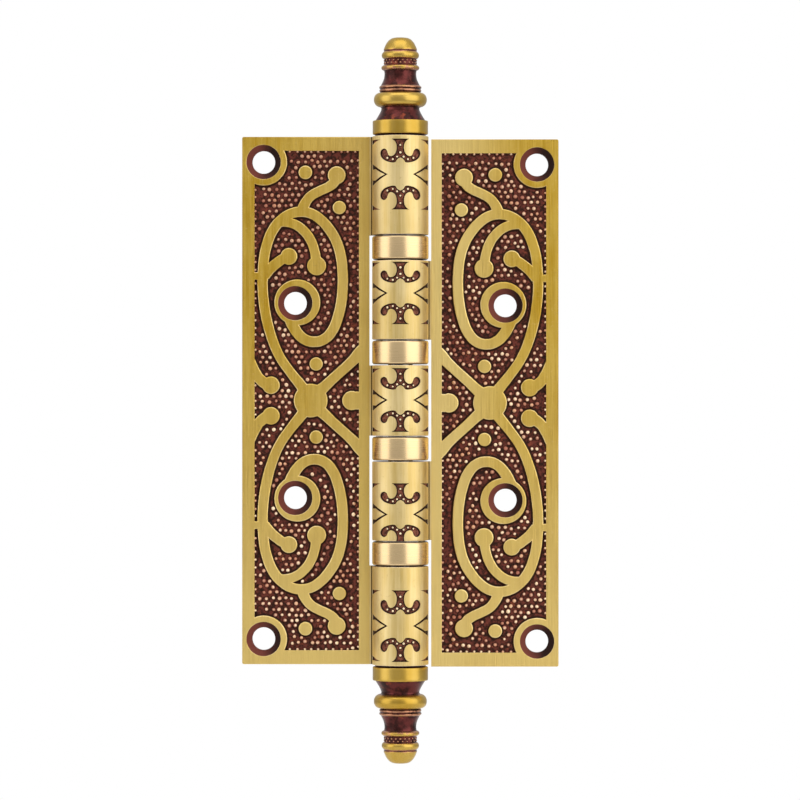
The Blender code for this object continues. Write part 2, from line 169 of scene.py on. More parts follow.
# Tones that the finish's own colours don't cover.
LEAF_PALE = (0.62, 0.42, 0.075, 1)
BARREL_PALE = (0.76, 0.61, 0.31, 1)
SATIN_DULL = (0.74, 0.53, 0.30, 1)
FLECK = (0.30, 0.17, 0.05, 1)
# Painted highlight: reddish glints on the patina.
PAINTED_RED_GLINT = (0.34, 0.075, 0.035, 1)
# Partly worn brass, partly a painted highlight on the scroll shoulders.
RUBBED_RIM_AND_HIGHLIGHT = (0.94, 0.78, 0.46, 1)
# Painted light and shade of the countersinks' walls.
SINK_LIT, SINK_SHADED = (0.17, 0.045, 0.033, 1), (0.022, 0.009, 0.007, 1)
# FLANK is partly the pips' own colour and partly a painted highlight.
COPPER_TIP, DULL_TIP, FLANK = (0.72, 0.40, 0.24, 1), (0.46, 0.21, 0.13, 1), (0.40, 0.15, 0.10, 1)
ENGRAVED_PATINA, ENGRAVED_DARK = (0.24, 0.082, 0.05, 1), (0.07, 0.022, 0.015, 1)
FINIAL_BRASS, FINIAL_PALE, FINIAL_COPPER = (0.46, 0.28, 0.035, 1), (0.60, 0.42, 0.11, 1), (0.44, 0.21, 0.12, 1)
FINIAL_PATINA, FINIAL_DARK = (0.12, 0.029, 0.027, 1), (0.035, 0.012, 0.011, 1)
OIL, SPECK = (0.22, 0.18, 0.13, 1), (0.25, 0.14, 0.05, 1)
LOW_SPECULAR = 0.12

# Soft lights: name, place, size, power and colour.
LIGHTS = (
    ("key", (0.56, -0.42, 0.16), (0.85, 0.9), 3.3, (1.0, 0.98, 0.94)),
    ("side", (-0.64, -0.26, 0.10), (0.55, 0.9), 1.8, (1.0, 0.98, 0.95)),
    ("top", (0.0, -0.25, 0.75), (0.9, 0.5), 1.9, (1.0, 0.98, 0.96)),
)

CAMERA_DISTANCE = 1.1377

# What the settings of one kind share.
LENGTH = {"subtype": "DISTANCE", "unit": "LENGTH", "precision": 5}
COLOUR = {"subtype": "COLOR", "size": 3, "min": 0.0, "max": 1.0}


# ---- settings

class HINGE_PG_shape(bpy.types.PropertyGroup):
    """Sizes of the ornament that a user may change."""

    relief_depth: bpy.props.FloatProperty(
        name="Relief depth", description="How deep the panel behind the scrollwork is sunk",
        default=0.8 * MM, min=0.2 * MM, max=1.5 * MM, **LENGTH,
    )
    engraving_depth: bpy.props.FloatProperty(
        name="Engraving depth", description="Depth of the motif cut into each knuckle",
        default=0.55 * MM, min=0.1 * MM, max=1.5 * MM, **LENGTH,
    )
    pip_radius: bpy.props.FloatProperty(
        name="Pip radius", description="Radius of a pip of the stippled ground at its foot",
        default=0.66 * MM, min=0.2 * MM, max=1.2 * MM, **LENGTH,
    )
    pip_height: bpy.props.FloatProperty(
        name="Pip height", description="Height of a pip above the ground",
        default=0.62 * MM, min=0.1 * MM, max=0.8 * MM, **LENGTH,
    )
    pip_spacing: bpy.props.FloatProperty(
        name="Pip spacing", description="Distance between neighbouring pips",
        default=1.84 * MM, min=1.2 * MM, max=4.0 * MM, **LENGTH,
    )
    seed: bpy.props.IntProperty(
        name="Seed", description="Changes where the pips stray from their rows", default=7, min=0,
    )


class HINGE_PG_finish(bpy.types.PropertyGroup):
    """Colours of the metals and of the patina, some of them carrying painted light and shade."""

    brass: bpy.props.FloatVectorProperty(
        name="Brass", description="Brushed brass of the leaves",
        default=(0.46, 0.265, 0.012), **COLOUR,
    )
    # Painted light: this paler brass is laid near the barrel, strongly on the right leaf and faintly on the
    # left, and towards the lower end.
    pale_brass: bpy.props.FloatVectorProperty(
        name="Pale brass", description="Brass where the brush has cut brightest",
        default=(0.80, 0.61, 0.23), **COLOUR,
    )
    barrel_brass: bpy.props.FloatVectorProperty(
        name="Barrel brass", description="Brushed brass of the knuckles",
        default=(0.59, 0.42, 0.13), **COLOUR,
    )
    patina: bpy.props.FloatVectorProperty(
        name="Patina", description="Oxblood patina in the recesses",
        default=(0.14, 0.034, 0.024), **COLOUR,
    )
    # Dark patina in blotches, and also painted shade: on the relief's and the engraving's walls, round the
    # pips' feet, at the knuckles' ends, beside the leaf and on the shells' eased edges.
    dark_patina_and_shade: bpy.props.FloatVectorProperty(
        name="Dark patina", description="Patina along the walls and in the deepest corners",
        default=(0.028, 0.010, 0.006), **COLOUR,
    )
    # Partly a painted highlight: on the tips of the pips and beads, and along the engraving's edges.
    worn_tip_and_highlight: bpy.props.FloatVectorProperty(
        name="Worn tip", description="Brass laid bare on the tips of the pips",
        default=(0.98, 0.79, 0.55), **COLOUR,
    )
    satin_gold: bpy.props.FloatVectorProperty(
        name="Satin gold", description="Bearing shells",
        default=(0.75, 0.56, 0.31), **COLOUR,
    )
    steel: bpy.props.FloatVectorProperty(
        name="Steel", description="Pin, races and balls",
        default=(0.36, 0.34, 0.31), **COLOUR,
    )


# ---- modelling helpers

def linked(name, data):
    """A new object in the scene for a mesh, a curve, a light or a camera."""
    thing = bpy.data.objects.new(name, data)
    bpy.context.scene.collection.objects.link(thing)
    return thing


def only(thing):
    """Leaves one object selected, and makes it the active one."""
    bpy.ops.object.select_all(action="DESELECT")
    thing.select_set(True)
    bpy.context.view_layer.objects.active = thing
    return thing


def named(name):
    """Names the active object and its mesh."""
    thing = bpy.context.active_object
    thing.name = name
    thing.data.name = name
    return thing


def closed_up(thing):
    """Merges doubles and turns the faces outwards."""
    only(thing)
    bpy.ops.object.mode_set(mode="EDIT")
    bpy.ops.mesh.select_all(action="SELECT")
    bpy.ops.mesh.remove_doubles(threshold=0.002 * MM)
    bpy.ops.mesh.normals_make_consistent(inside=False)
    bpy.ops.object.mode_set(mode="OBJECT")
    return thing


def apply_modifiers(thing):
    """Makes the modifiers part of the mesh."""
    only(thing)
    for modifier in list(thing.modifiers):
        bpy.ops.object.modifier_apply(modifier=modifier.name)
    return thing


def place_in_mesh(thing):
    """Moves an object's place and size into its mesh."""
    only(thing)
    bpy.ops.object.transform_apply(location=True, rotation=True, scale=True)
    return thing


def smooth(thing, angle):
    """Shades smooth where faces meet at less than an angle in degrees."""
    only(thing)
    bpy.ops.object.shade_smooth_by_angle(angle=math.radians(angle))
    return thing


def flats_kept(thing):
    """Keeps the flat faces flat to the light, where an eased edge is smoothed into them."""
    thing.modifiers.new("flats", "WEIGHTED_NORMAL").keep_sharp = True
    apply_modifiers(thing)


def block(name, low, high):
    """A box between two corners."""
    bpy.ops.object.select_all(action="DESELECT")
    bpy.ops.mesh.primitive_cube_add(size=1, location=(Vector(low) + Vector(high)) / 2)
    thing = named(name)
    thing.scale = [abs(b - a) for a, b in zip(low, high)]
    return place_in_mesh(thing)


def turned(name, outline, sides, closed=False):
    """A solid of revolution about Z, from (radius, height) down its outer side."""
    mesh = bpy.data.meshes.new(name)
    edges = [(i, i + 1) for i in range(len(outline) - 1)]
    if closed:
        edges.append((len(outline) - 1, 0))
    mesh.from_pydata([(radius, 0, height) for radius, height in outline], edges, [])
    thing = linked(name, mesh)
    screw = thing.modifiers.new("turn", "SCREW")
    screw.steps = screw.render_steps = sides
    screw.use_merge_vertices = True
    screw.merge_threshold = 0.001 * MM
    apply_modifiers(thing)
    return closed_up(thing)


def join(name, things):
    """Several objects made into one piece."""
    bpy.ops.object.select_all(action="DESELECT")
    for thing in things:
        thing.select_set(True)
    bpy.context.view_layer.objects.active = things[0]
    bpy.ops.object.join()
    return named(name)


def cut(thing, operation, tools):
    """A Boolean with one or more tools, which are used up."""
    bench = bpy.data.collections.new("bench")
    bpy.context.scene.collection.children.link(bench)
    for tool in tools:
        bench.objects.link(tool)
    modifier = thing.modifiers.new("cut", "BOOLEAN")
    modifier.operation = operation
    modifier.solver = "EXACT"
    modifier.operand_type = "COLLECTION"
    modifier.collection = bench
    apply_modifiers(thing)
    for tool in tools:
        bpy.data.objects.remove(tool)
    bpy.data.collections.remove(bench)
    return closed_up(thing)


def mirrored(thing, name):
    """A copy on the other side of the hinge axis, with its own mesh."""
    mesh = thing.data.copy()
    mesh.transform(TO_OTHER_SIDE)
    mesh.flip_normals()
    mesh.name = name
    return linked(name, mesh)


def scattered(name, pip, places):
    """One mesh with a copy of a pip at each place. The pip is used up."""
    shape = bmesh.new()
    for place in places:
        before = len(shape.verts)
        shape.from_mesh(pip.data)
        shape.verts.ensure_lookup_table()
        for vertex in shape.verts[before:]:
            vertex.co = place @ vertex.co
    mesh = bpy.data.meshes.new(name)
    shape.to_mesh(mesh)
    shape.free()
    bpy.data.objects.remove(pip)
    return linked(name, mesh)


def finished(thing, body, slot, material, *nodes):
    """Gives a piece its finish, puts it on a body and lets it stand for its solids."""
    thing.data.materials.clear()
    thing.data.materials.append(material)
    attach(thing, body)
    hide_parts(*nodes)
    return thing


# ---- leaves

def band_section():
    """Section of a scroll band for a half-width of 1: eased shoulders, then a drafted wall."""
    curve = bpy.data.curves.new("band_section", "CURVE")
    curve.dimensions = "2D"
    right = [
        (0.74, 0.6), (0.74, 0.02), (0.84, -0.025), (0.92, -0.065), (0.98, -0.12), (1.06, -0.21),
        (1.36, -0.5), (1.6, -0.95),
    ]
    corners = [(-across, up) for across, up in right] + right[::-1]
    spline = curve.splines.new("POLY")
    spline.points.add(len(corners) - 1)
    for point, (across, up) in zip(spline.points, corners):
        point.co = (across, up, 0, 1)
    spline.use_cyclic_u = True
    return linked("band_section", curve)


def scroll_band(name, route, half, section):
    """One raised band, lying face up."""
    curve = bpy.data.curves.new(name, "CURVE")
    curve.dimensions = "3D"
    curve.twist_mode = "Z_UP"
    curve.resolution_u = 5
    curve.bevel_mode = "OBJECT"
    curve.bevel_object = section
    curve.use_fill_caps = True
    spline = curve.splines.new("BEZIER")
    spline.bezier_points.add(len(route) - 1)
    for point, (across, up, half_width) in zip(spline.bezier_points, route):
        point.co = (across * MM, half * up * MM, 0)
        point.radius = half_width * MM
        point.handle_left_type = point.handle_right_type = "AUTO"
    only(linked(name, curve))
    bpy.ops.object.convert(target="MESH")
    return closed_up(bpy.context.active_object)


def scroll_pad(name, across, up, radius):
    """A round raised pad, lying face up, with the bands' shoulder and draft."""
    steps = (
        (0.42, -0.9), (0.42, -0.03), (0.27, 0.045), (0.13, 0.11), (0.03, 0.2), (-0.08, 0.34),
        (-0.5, 0.82), (-0.7, 1.45),
    )
    outline = [((radius - inset) * MM, -drop * MM) for inset, drop in steps]
    outline = [(0, outline[0][1]), *outline, (0, outline[-1][1])]
    pad = turned(name, outline, SMALL_ROUND_SIDES if radius < 4 else 2 * SMALL_ROUND_SIDES)
    pad.data.transform(Matrix.Translation((across * MM, up * MM, 0)))
    return pad


def panel_blank(depth):
    """The sunk panel's room, lying face up, flared at its rim to ease the border's edge."""
    inner, outer, top = (value * MM for value in PANEL)
    blank = block("ground", (inner, -top, -depth), (outer, top, -0.22 * MM))
    only(blank)
    centre = ((inner + outer) / 2, 0, 0)
    width, height = outer - inner, 2 * top
    bpy.ops.object.mode_set(mode="EDIT")
    shape = bmesh.from_edit_mesh(blank.data)
    for face in shape.faces:
        face.select_set(face.normal.z > 0.9)
    bmesh.update_edit_mesh(blank.data)
    for rise, flare in ((0.11, 0.03), (0.07, 0.06), (0.07, 0.11), (0.35, 0.0)):
        bpy.ops.mesh.extrude_region_move(TRANSFORM_OT_translate={"value": (0, 0, rise * MM)})
        wider, higher = width + 2 * flare * MM, height + 2 * flare * MM
        bpy.ops.transform.resize(value=(wider / width, higher / height, 1), center_override=centre)
        width, height = wider, higher
    bpy.ops.object.mode_set(mode="OBJECT")
    return blank


def ground_tool(depth):
    """What is sunk into a leaf's face: the panel less all its scrollwork."""
    section = band_section()
    raised = []
    for half, bands, pads in ((1, BANDS, PADS), (-1, BANDS, PADS), (1, MIDDLE_BANDS, MIDDLE_PADS)):
        raised += [scroll_band(name, route, half, section) for name, route in bands.items()]
        raised += [scroll_pad(name, across, half * up, radius) for name, (across, up, radius) in pads.items()]
    bpy.data.objects.remove(section)
    return cut(panel_blank(depth), "DIFFERENCE", raised)


def screw_hole_tool(across, up):
    """A clear hole with a countersink whose rim is eased."""
    sink = COUNTERSINK_RADIUS - SCREW_RADIUS
    rim = COUNTERSINK_RADIUS + 0.12
    outline = (
        (0, 1.0), (rim, 1.0), (rim, 0.03), (COUNTERSINK_RADIUS, -0.09), (SCREW_RADIUS + 0.1, -sink),
        (SCREW_RADIUS, -sink - 0.15), (SCREW_RADIUS, -5.0), (0, -5.0),
    )
    outline = [(radius * MM, height * MM) for radius, height in outline]
    tool = turned("screw_hole", outline, 2 * SMALL_ROUND_SIDES)
    tool.data.transform(Matrix.Translation((across * MM, up * MM, 0)))
    return tool


def leaf_plate(depth):
    """The right leaf's plate, with its panel sunk and its screw holes cut."""
    plate = block("plate_right", (PLATE_EDGE, FACE_Y, -HALF_HEIGHT), (REACH, BACK_Y, HALF_HEIGHT))
    only(plate)
    bpy.ops.object.mode_set(mode="EDIT")
    for size, chosen in (
        (0.6 * MM, lambda a, b: max(a.x, b.x) < PLATE_EDGE + 0.1 * MM and abs(a.z - b.z) > MM),
        (0.5 * MM, lambda a, b: min(a.x, b.x) > REACH - 0.1 * MM and abs(a.y - b.y) > MM),
        (0.25 * MM, lambda a, b: min(abs(a.z), abs(b.z)) > HALF_HEIGHT - 0.1 * MM and abs(a.x - b.x) > MM),
        (0.25 * MM, lambda a, b: min(a.x, b.x) > REACH - 0.1 * MM and abs(a.z - b.z) > MM),
    ):
        shape = bmesh.from_edit_mesh(plate.data)
        for face in shape.faces:
            face.select_set(False)
        for edge in shape.edges:
            edge.select_set(chosen(edge.verts[0].co, edge.verts[1].co))
        bmesh.update_edit_mesh(plate.data)
        bpy.ops.mesh.bevel(offset=size, segments=3, affect="EDGES")
    bpy.ops.object.mode_set(mode="OBJECT")
    tools = [ground_tool(depth)]
    for across, up in SCREW_HOLES:
        tools += [screw_hole_tool(across, up), screw_hole_tool(across, -up)]
    for tool in tools:
        tool.data.transform(STAND_UP)
    return smooth(cut(plate, "DIFFERENCE", tools), 48)


# ---- stippled ground

def pip_template(radius, height):
    """A low dome that stands on Z, with its foot sunk a little."""
    sink = 0.06 * MM
    turns = [math.radians(turn) for turn in (22, 46, 70)]
    outline = [(0.0, height)] + [(radius * math.sin(turn), height * math.cos(turn)) for turn in turns]
    outline += [(1.04 * radius, 0.12 * height), (1.35 * radius, -sink), (0, -sink)]
    return turned("pip", outline, 8)


def pip_places(tree, side, ground_y, shape, chance):
    """Where pips stand on a leaf's ground: rows that stray, with a row of taller ones along each border."""

    def on_ground(across, up):
        hit = tree.ray_cast(Vector((side * across, -0.02, up)), Vector((0, 1, 0)))[0]
        return hit is not None and abs(hit.y - ground_y) < 0.1 * MM

    inner, outer, top = (value * MM for value in PANEL)
    step = shape.pip_spacing
    places = []

    def try_place(across, up, spread, tall):
        clear = all(
            on_ground(across + spread * math.cos(turn), up + spread * math.sin(turn))
            for turn in (0.0, math.pi / 2, math.pi, -math.pi / 2)
        )
        near = any((across - a) ** 2 + (up - b) ** 2 < (0.74 * step) ** 2 for a, b, is_tall in places)
        if clear and not near:
            places.append((across, up, tall))

    edge, border_step = 0.2 * MM, 1.12 * step
    for i in range(int(2 * top / border_step)):
        up = -top + (i + 0.5 + chance.uniform(-0.12, 0.12)) * border_step
        for across in (inner + edge, outer - edge):
            try_place(across, up, 0.05 * MM, True)
    for i in range(int((outer - inner) / border_step)):
        across = inner + (i + 0.5 + chance.uniform(-0.12, 0.12)) * border_step
        for up in (top - edge, edge - top):
            try_place(across, up, 0.05 * MM, True)
    row_step, stray = 0.866 * step, 0.09 * step
    for row in range(int(2 * top / row_step) + 1):
        up_row = -top + 0.45 * MM + row * row_step
        for column in range(int((outer - inner) / step) + 1):
            across = inner + 1.45 * MM + (column + 0.5 * (row % 2)) * step + chance.gauss(0, stray)
            try_place(across, up_row + chance.gauss(0, stray), chance.choice((0.15, 0.45)) * MM, False)
    return places


def stipple(name, plate, side, ground_y, shape, seed):
    """All the pips of one leaf, as one piece."""
    chance = random.Random(seed)
    tree = BVHTree.FromPolygons(
        [vertex.co.copy() for vertex in plate.data.vertices],
        [tuple(polygon.vertices) for polygon in plate.data.polygons],
    )
    stands = []
    for across, up, tall in pip_places(tree, side, ground_y, shape, chance):
        size = 0.72 if tall else chance.uniform(0.82, 1.08)
        rise = 1.22 if tall else chance.uniform(0.78, 1.1)
        stands.append(
            Matrix.Translation((side * across, ground_y, up)) @ FACE_FORWARD
            @ Matrix.Rotation(chance.uniform(0, math.pi), 4, "Z")
            @ Matrix.Diagonal((size, size * chance.uniform(0.88, 1.0), rise, 1))
        )
    return smooth(scattered(name, pip_template(shape.pip_radius, shape.pip_height), stands), 75)


# ---- knuckles

def knuckle_heights():
    """(bottom, top) of the five knuckles, from the top one down."""
    tops = [HALF_HEIGHT] + [low.z - STACK_GAP for low, high in SHELLS]
    bottoms = [high.z + STACK_GAP for low, high in SHELLS] + [-HALF_HEIGHT]
    return list(zip(bottoms, tops))


def flat_tool(name, corners, depth):
    """A flat outline as a slab, ready to be wrapped onto the barrel. A corner is across, up, sharp."""
    curve = bpy.data.curves.new(name, "CURVE")
    curve.dimensions = "2D"
    curve.fill_mode = "BOTH"
    curve.extrude = (depth + 0.6 * MM) / 2
    curve.resolution_u = 4
    spline = curve.splines.new("BEZIER")
    spline.bezier_points.add(len(corners) - 1)
    for point, (across, up, sharp) in zip(spline.bezier_points, corners):
        point.co = (across * MM, up * MM, 0)
        point.handle_left_type = point.handle_right_type = "VECTOR" if sharp else "AUTO"
    spline.use_cyclic_u = True
    only(linked(name, curve))
    bpy.ops.object.convert(target="MESH")
    tool = bpy.context.active_object
    tool.data.transform(Matrix.Translation((0, 0, (0.6 * MM - depth) / 2)))
    return closed_up(tool)


def sloped_floor(tool, rim, drop):
    """Sinks the middle of a slab's floor, so that a sloping rim is left along its walls."""
    shape = bmesh.new()
    shape.from_mesh(tool.data)
    floor = [face for face in shape.faces if face.normal.z < -0.9]
    bmesh.ops.inset_region(shape, faces=floor, thickness=rim, use_even_offset=True)
    lowered = {vertex for face in floor for vertex in face.verts}
    for vertex in lowered:
        vertex.co.z -= drop
    shape.to_mesh(tool.data)
    shape.free()
    return tool


def wrapped(tool):
    """Bends a slab round the barrel: across becomes an arc, and its middle faces -Y."""
    shape = bmesh.new()
    shape.from_mesh(tool.data)
    reach = max(abs(vertex.co.x) for vertex in shape.verts)
    step = 0.45 * MM
    for i in range(-int(reach / step), int(reach / step) + 1):
        geometry = shape.verts[:] + shape.edges[:] + shape.faces[:]
        bmesh.ops.bisect_plane(shape, geom=geometry, plane_co=(i * step, 0, 0), plane_no=(1, 0, 0), dist=1e-8)
    for vertex in shape.verts:
        turn = vertex.co.x / BARREL_RADIUS
        radius = BARREL_RADIUS + vertex.co.z
        vertex.co = (radius * math.sin(turn), -radius * math.cos(turn), vertex.co.y)
    shape.to_mesh(tool.data)
    shape.free()
    return tool


def motif_tools(top, height, depth):
    """The engraved motif of a knuckle: two anchors, two chevrons and four corner wedges."""
    scale = height / MOTIF_HEIGHT
    upper, lower = top, top - height
    middle = (upper + lower) / 2
    wedge = ((6.3, 0.1), (12.0, 0.1), (12.0, 1.7), (9.2, 0.95), (7.8, 0.45))
    chevron = [(3.7, 0.0), (6.0, 1.15), (8.2, 2.2), (11.2, 3.3), (11.2, 1.5), (8.6, 1.6), (4.7, 0.0)]
    chevron += [(across, -up) for across, up in chevron[5:0:-1]]
    tools = []
    for edge, down in ((upper, -1), (lower, 1)):
        half = [(across, edge + down * drop * scale, sharp) for across, drop, sharp in ANCHOR]
        outline = half + [(-across, up, sharp) for across, up, sharp in half[-2:0:-1]]
        tools.append(sloped_floor(flat_tool("anchor", outline, depth - 0.3 * MM), 0.42 * MM, 0.3 * MM))
        for side in (1, -1):
            outline = [(side * across, edge + down * drop, True) for across, drop in wedge]
            tools.append(flat_tool("wedge", outline, depth))
    for side in (1, -1):
        outline = [(side * across, middle + up, True) for across, up in chevron]
        tools.append(flat_tool("chevron", outline, 0.6 * depth))
    return [wrapped(tool) for tool in tools]


def motif_beads(top, height, bottom, depth, chance):
    """Pips that stand in the anchors, as far down as the knuckle's bottom."""
    scale = height / MOTIF_HEIGHT
    places = []
    for edge, down in ((top, -1), (top - height, 1)):
        for across, drop in ANCHOR_BEADS:
            up = edge + down * drop * scale
            if up < bottom + 0.6:
                continue
            for side in (1, -1) if across else (1,):
                size = chance.uniform(0.8, 1.05)
                places.append(
                    Matrix.Translation((0, 0, up * MM))
                    @ Matrix.Rotation(side * across * MM / BARREL_RADIUS, 4, "Z")
                    @ Matrix.Translation((0, depth - BARREL_RADIUS, 0))
                    @ FACE_FORWARD @ Matrix.Diagonal((size, size, 1, 1))
                )
    return scattered("beads", pip_template(0.52 * MM, depth * 0.96), places)


def knuckle(number, bottom, top, side, shape):
    """A knuckle with its bore, its eased ends, its root on the leaf and its engraving."""
    ease = 0.28 * MM
    eased = ((ease, 0.0), (ease * 0.4, ease * 0.12), (ease * 0.12, ease * 0.4), (0.0, ease))
    outline = [(BARREL_RADIUS - inset, top - drop) for inset, drop in eased]
    outline += [(BARREL_RADIUS - inset, bottom + rise) for inset, rise in eased[::-1]]
    outline += [(BORE_RADIUS, bottom), (BORE_RADIUS, top)]
    body = turned(f"knuckle_{number}", outline, ROUND_SIDES, closed=True)
    near, far = side * (BORE_RADIUS + 1.5 * MM), side * (PLATE_EDGE + 0.5 * MM)
    inset = 0.02 * MM
    low = (min(near, far), FACE_Y + 0.1 * MM, bottom + inset)
    high = (max(near, far), BACK_Y - inset, top - inset)
    cut(body, "UNION", [block("root", low, high)])
    start, height = ENGRAVINGS[number - 1]
    motif_top, depth = top / MM - start, shape.engraving_depth
    cut(body, "DIFFERENCE", motif_tools(motif_top, height, depth))
    beads = motif_beads(motif_top, height, bottom / MM, depth, random.Random(number))
    return smooth(join(f"knuckle_{number}", [body, beads]), 38)


# ---- shells and finials

def bearing_shell(number, low, high):
    """The satin cup of a thrust bearing, with well rounded edges."""
    ease = 0.65 * MM
    turns = [math.radians(90 * i / 6) for i in range(7)]
    edge = BARREL_RADIUS - ease
    outline = [(edge + ease * math.sin(turn), high.z - ease + ease * math.cos(turn)) for turn in turns]
    outline += [(edge + ease * math.cos(turn), low.z + ease - ease * math.sin(turn)) for turn in turns]
    inside, floor = 7.15 * MM, low.z + 1.0 * MM
    outline += [(3.8 * MM, low.z), (3.8 * MM, floor), (inside, floor), (inside, high.z)]
    return smooth(turned(f"shell_{number}", outline, ROUND_SIDES, closed=True), 40)


def finial_outline():
    """The finial's outline rounded between its points, with how worn each point is."""
    points = [Vector(point) for point in FINIAL]
    rounded = []
    for i in range(len(points) - 1):
        before, start = points[max(i - 1, 0)], points[i]
        end, after = points[i + 1], points[min(i + 2, len(points) - 1)]
        for step in range(3):
            t = step / 3
            rounded.append(0.5 * (
                2 * start + (end - before) * t + (2 * before - 5 * start + 4 * end - after) * t ** 2
                + (3 * start - before - 3 * end + after) * t ** 3
            ))
    rounded.append(points[-1])
    return [(max(point.x, 0.0), point.y, min(max(point.z, 0.0), 1.0)) for point in rounded]


def finial(name, upward):
    """A turned finial, which keeps how worn each ring is in an attribute."""
    outline = finial_outline()
    profile = [(radius, height) for radius, height, worn in outline]
    profile += [(7.2, 0.0), (STUD_HOLE, 0.0), (STUD_HOLE, STUD_HOLE_DEPTH), (0, STUD_HOLE_DEPTH)]
    thing = turned(name, [(radius * MM, height * MM) for radius, height in profile], ROUND_SIDES)
    worn_of = thing.data.attributes.new("worn", "FLOAT", "POINT")
    for i, vertex in enumerate(thing.data.vertices):
        radius, height = math.hypot(vertex.co.x, vertex.co.y) / MM, vertex.co.z / MM
        nearest = min(outline, key=lambda point: (point[0] - radius) ** 2 + (point[1] - height) ** 2)
        in_view = radius > STUD_HOLE + 0.1 or height > STUD_HOLE_DEPTH + 1
        worn_of.data[i].value = nearest[2] if in_view else 0.0
    thing = join(name, [thing] + [neck_beads(*row) for row in NECK_ROWS])
    thing.data.transform(Matrix.Translation((0, 0, FINIAL_SEAT)))
    if not upward:
        thing.data.transform(Matrix.Rotation(math.pi, 4, "X"))
    return smooth(thing, 50)


def neck_beads(height, shift, size):
    """A ring of small pips round the stippled neck."""
    places = [
        Matrix.Rotation(2 * math.pi * (i + shift) / NECK_BEADS, 4, "Z")
        @ Matrix.Translation((0, -NECK_RADIUS * MM, height * MM)) @ FACE_FORWARD
        for i in range(NECK_BEADS)
    ]
    ring = scattered("beads", pip_template(size * MM, 0.26 * MM), places)
    worn_of = ring.data.attributes.new("worn", "FLOAT", "POINT")
    for i, vertex in enumerate(ring.data.vertices):
        out = math.hypot(vertex.co.x, vertex.co.y) / MM - NECK_RADIUS
        worn_of.data[i].value = 0.52 if out > 0.14 else 0.0
    return ring


# ---- shader building blocks

def feed(tree, node, values):
    """Links or sets a node's inputs."""
    for key, value in values.items():
        if isinstance(value, bpy.types.NodeSocket):
            tree.links.new(value, node.inputs[key])
        else:
            node.inputs[key].default_value = value
    return node


def add(tree, kind, values=None, **settings):
    """A shader node with its settings and its inputs."""
    node = tree.nodes.new(kind)
    for key, value in settings.items():
        setattr(node, key, value)
    return feed(tree, node, values or {})


def new_group(name, inputs, outputs):
    """A shader node group with its sockets: (name, socket type, default)."""
    tree = bpy.data.node_groups.new(name, "ShaderNodeTree")
    for label, kind, default in inputs:
        socket = tree.interface.new_socket(label, in_out="INPUT", socket_type=kind)
        if default is not None:
            socket.default_value = default
    for label, kind in outputs:
        tree.interface.new_socket(label, in_out="OUTPUT", socket_type=kind)
    return tree, tree.nodes.new("NodeGroupInput").outputs, tree.nodes.new("NodeGroupOutput")


def use_group(tree, group, values):
    """The outputs of a shared effect."""
    return add(tree, "ShaderNodeGroup", values, node_tree=bpy.data.node_groups[group]).outputs


def ramp(tree, value, low, high, to_low=0.0, to_high=1.0, smooth_step=True):
    """A value brought from one range to another, clamped."""
    return add(
        tree, "ShaderNodeMapRange",
        {"Value": value, "From Min": low, "From Max": high, "To Min": to_low, "To Max": to_high},
        interpolation_type="SMOOTHSTEP" if smooth_step else "LINEAR",
    ).outputs["Result"]


def calc(tree, operation, first, second=0.0):
    """One step of arithmetic."""
    return add(tree, "ShaderNodeMath", {0: first, 1: second}, operation=operation).outputs[0]


def product(tree, first, *others):
    """Values or masks multiplied together."""
    for other in others:
        first = calc(tree, "MULTIPLY", first, other)
    return first


def radius_of(tree, first, second):
    """Distance from the middle, from two measures square to each other."""
    return calc(tree, "SQRT", calc(tree, "ADD", product(tree, first, first), product(tree, second, second)))


def above_barrel(tree, xyz):
    """How far a point stands out of the barrel's round."""
    return calc(tree, "SUBTRACT", radius_of(tree, xyz["X"], xyz["Y"]), BARREL_RADIUS)


def mix(tree, factor, first, second):
    """A colour between two others."""
    return add(tree, "ShaderNodeMix", {0: factor, 6: first, 7: second}, data_type="RGBA").outputs[2]


def mix_value(tree, factor, first, second):
    """A value between two others."""
    return add(tree, "ShaderNodeMix", {0: factor, 2: first, 3: second}, data_type="FLOAT").outputs[0]


def scaled(tree, vector, factors):
    """Coordinates stretched or squeezed along each axis."""
    return add(tree, "ShaderNodeVectorMath", {0: vector, 1: factors}, operation="MULTIPLY").outputs[0]


def axes(tree, vector):
    """Coordinates taken apart."""
    return add(tree, "ShaderNodeSeparateXYZ", {0: vector}).outputs


def noise(tree, vector, scale, detail=2.0, rough=0.5):
    """Cloudy values about 0.5."""
    values = {"Vector": vector, "Scale": scale, "Detail": detail, "Roughness": rough}
    return add(tree, "ShaderNodeTexNoise", values).outputs["Fac"]


def bump(tree, shader, height, distance, strength):
    """A bump on the shader's normal."""
    node = add(tree, "ShaderNodeBump", {"Height": height, "Distance": distance, "Strength": strength})
    feed(tree, shader, {"Normal": node.outputs[0]})


def rgba(colour):
    """A setting's colour with its alpha."""
    return (*colour, 1.0)


def surface(tree, shader, colour, metallic, roughness, specular=LOW_SPECULAR):
    """Sets or links the shader's main inputs."""
    feed(tree, shader, {
        "Base Color": colour, "Metallic": metallic, "Roughness": roughness, "Specular IOR Level": specular,
    })


